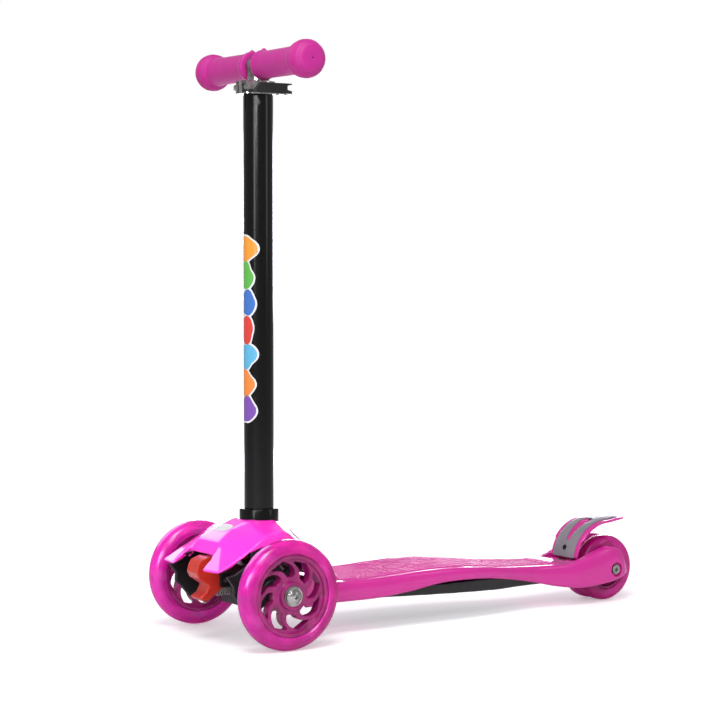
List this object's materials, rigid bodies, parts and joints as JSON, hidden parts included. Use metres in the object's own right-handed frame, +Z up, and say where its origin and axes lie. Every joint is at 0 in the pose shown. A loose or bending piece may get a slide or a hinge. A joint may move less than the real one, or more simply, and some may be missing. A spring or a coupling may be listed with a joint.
{
  "type": "kick scooter",
  "caption": "Child's three-wheeled lean-to-steer kick scooter with a telescopic T-bar, pink deck and front cover, translucent wheels and a sprung fender brake",
  "frame": {"origin": "on the ground, at the middle of the object's width and length", "axes": "+Z up, the scooter travels towards -Y, the rider's left is +X"},
  "size_m": [0.2398, 0.6146, 0.6554],
  "materials": {
    "pink_plastic": "gloss",
    "magenta_urethane": "gloss",
    "pink_grip": "satin",
    "black_plastic": "satin",
    "red_plastic": "gloss",
    "amber_plastic": "gloss",
    "black_paint": "satin",
    "bright_steel": "polished",
    "zinc_steel": "brushed",
    "grey_plate": "satin",
    "light_module": "gloss"
  },
  "bodies": {
    "deck": {"deck_board": "pink_plastic", "deck_underframe": "black_plastic", "front_cover": "pink_plastic", "steering_housing": "black_plastic", "bar_socket": "black_plastic", "kingpins": "zinc_steel", "kingpin_nuts": "zinc_steel", "centring_springs": "zinc_steel", "housing_screws": "zinc_steel", "underframe_screws": "zinc_steel", "release_pin": "zinc_steel", "release_spring": "zinc_steel", "rear_axle_bolt": "zinc_steel", "rear_axle_nut": "zinc_steel", "rear_spacers": "zinc_steel", "brake_pin": "zinc_steel", "brake_spring": "zinc_steel"},
    "steering_left": {"knuckle_left": "black_plastic", "front_axle_bolt_left": "bright_steel", "front_axle_nut_left": "zinc_steel"},
    "steering_right": {"knuckle_right": "black_plastic", "front_axle_bolt_right": "bright_steel", "front_axle_nut_right": "zinc_steel"},
    "tie": {"tie_rod": "zinc_steel"},
    "wheel_front_left": {"front_tyre_left": "magenta_urethane", "front_hub_left": "magenta_urethane", "front_bearings_left": "zinc_steel", "front_spacer_left": "zinc_steel", "front_lights_left": "light_module"},
    "wheel_front_right": {"front_tyre_right": "magenta_urethane", "front_hub_right": "magenta_urethane", "front_bearings_right": "zinc_steel", "front_spacer_right": "zinc_steel", "front_lights_right": "light_module"},
    "wheel_rear_left": {"rear_tyre_left": "magenta_urethane", "rear_hub_left": "magenta_urethane", "rear_bearings_left": "zinc_steel"},
    "wheel_rear_right": {"rear_tyre_right": "magenta_urethane", "rear_hub_right": "magenta_urethane", "rear_bearings_right": "zinc_steel"},
    "stem": {"outer_tube": "black_paint", "guide_bush": "amber_plastic", "guide_rivet": "zinc_steel", "clamp_band": "bright_steel", "clamp_bolt": "bright_steel", "clamp_nut": "bright_steel", "lever_pin": "bright_steel"},
    "clamp": {"clamp_lever": "black_plastic", "lever_cam": "bright_steel", "lever_plate": "bright_steel"},
    "mast": {"inner_tube": "bright_steel", "lower_bush": "amber_plastic", "crossbar": "bright_steel", "grip_left": "pink_grip", "grip_right": "pink_grip"},
    "release": {"release_lever": "red_plastic"},
    "brake": {"brake_fender": "pink_plastic", "brake_plate": "grey_plate", "brake_rivets": "zinc_steel"}
  },
  "joints": [
    {"name": "steer_left", "type": "hinge", "parent": "deck", "child": "steering_left", "pos_m": [0.046, -0.2393, 0.06], "axis": [0, -0.6428, 0.766], "range_deg": [-12, 12], "stiffness_Nm_per_rad": 12},
    {"name": "steer_right", "type": "hinge", "parent": "deck", "child": "steering_right", "pos_m": [-0.046, -0.2393, 0.06], "axis": [0, -0.6428, 0.766], "range_deg": [-12, 12]},
    {"name": "tie_rod_slide", "type": "slide", "parent": "deck", "child": "tie", "axis": [1, 0, 0], "range_m": [-0.0114, 0.0114], "deforming": ["centring_springs"]},
    {"name": "front_wheel_left_spin", "type": "hinge", "parent": "steering_left", "child": "wheel_front_left", "pos_m": [0.1028, -0.2393, 0.06], "axis": [1, 0, 0], "continuous": true},
    {"name": "front_wheel_right_spin", "type": "hinge", "parent": "steering_right", "child": "wheel_front_right", "pos_m": [-0.1028, -0.2393, 0.06], "axis": [1, 0, 0], "continuous": true},
    {"name": "rear_wheel_left_spin", "type": "hinge", "parent": "deck", "child": "wheel_rear_left", "pos_m": [0.012, 0.2673, 0.04], "axis": [1, 0, 0], "continuous": true},
    {"name": "rear_wheel_right_spin", "type": "hinge", "parent": "deck", "child": "wheel_rear_right", "pos_m": [-0.012, 0.2673, 0.04], "axis": [1, 0, 0], "continuous": true},
    {"name": "stem_lift", "type": "slide", "parent": "deck", "child": "stem", "axis": [0, 0, 1], "range_m": [0, 0.08]},
    {"name": "clamp_lever_open", "type": "hinge", "parent": "stem", "child": "clamp", "pos_m": [0.0164, -0.2372, 0.6097], "axis": [0, 0, -1], "range_deg": [0, 100]},
    {"name": "bar_height", "type": "slide", "parent": "stem", "child": "mast", "axis": [0, 0, 1], "range_m": [0, 0.2]},
    {"name": "release_press", "type": "hinge", "parent": "deck", "child": "release", "pos_m": [0, -0.2683, 0.067], "axis": [1, 0, 0], "range_deg": [0, 7], "stiffness_Nm_per_rad": 2, "springref_deg": -5.73, "deforming": ["release_spring"]},
    {"name": "brake_press", "type": "hinge", "parent": "deck", "child": "brake", "pos_m": [0, 0.2127, 0.047], "axis": [-1, 0, 0], "range_deg": [0, 8], "stiffness_Nm_per_rad": 3, "springref_deg": -5.73}
  ],
  "couplings": [
    {"joint": "steer_right", "follows": "steer_left", "ratio": 1},
    {"joint": "tie_rod_slide", "follows": "steer_left", "m_per_rad": -0.0535}
  ]
}
